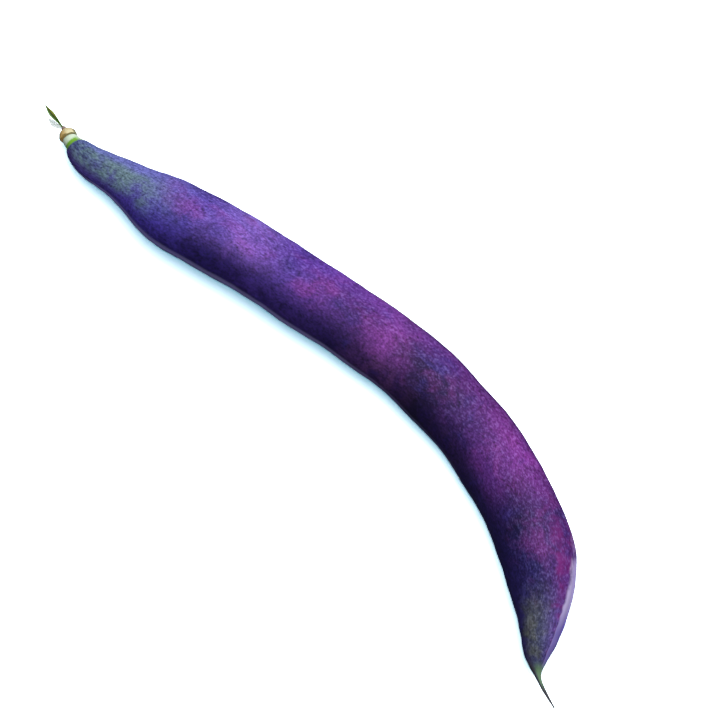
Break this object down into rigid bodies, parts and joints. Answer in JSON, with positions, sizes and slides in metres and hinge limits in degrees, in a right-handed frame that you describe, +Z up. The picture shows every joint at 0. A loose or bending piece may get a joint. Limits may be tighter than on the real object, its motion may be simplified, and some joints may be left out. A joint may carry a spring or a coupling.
{
  "type": "pole bean",
  "caption": "Curved purple pole bean pod with a dry calyx, a stub of stalk and a thin beak, lying on its side.",
  "frame": {"origin": "middle of the part's outline seen from above, on the surface that it lies on", "axes": "+X from the stem end towards the beak, +Y towards the outside of the pod's curve, +Z up"},
  "size_m": [0.1485, 0.0304, 0.0114],
  "materials": {
    "pod_skin": "smooth fine-speckled violet skin with a soft sheen, green at the neck and beak",
    "dry_calyx": "dry cream and tan husk, brown at its rim",
    "stalk": "dry pinkish grey stalk with a torn end",
    "green_leaf": "green leaf, darker inside its fold",
    "papery_leaf": "dry thin papery leaf, nearly white"
  },
  "bodies": {
    "root": {"pod": "pod_skin", "calyx_cup": "dry_calyx", "stalk_stub": "stalk", "green_bracteole": "green_leaf", "dry_bracteole": "papery_leaf"}
  },
  "joints": []
}
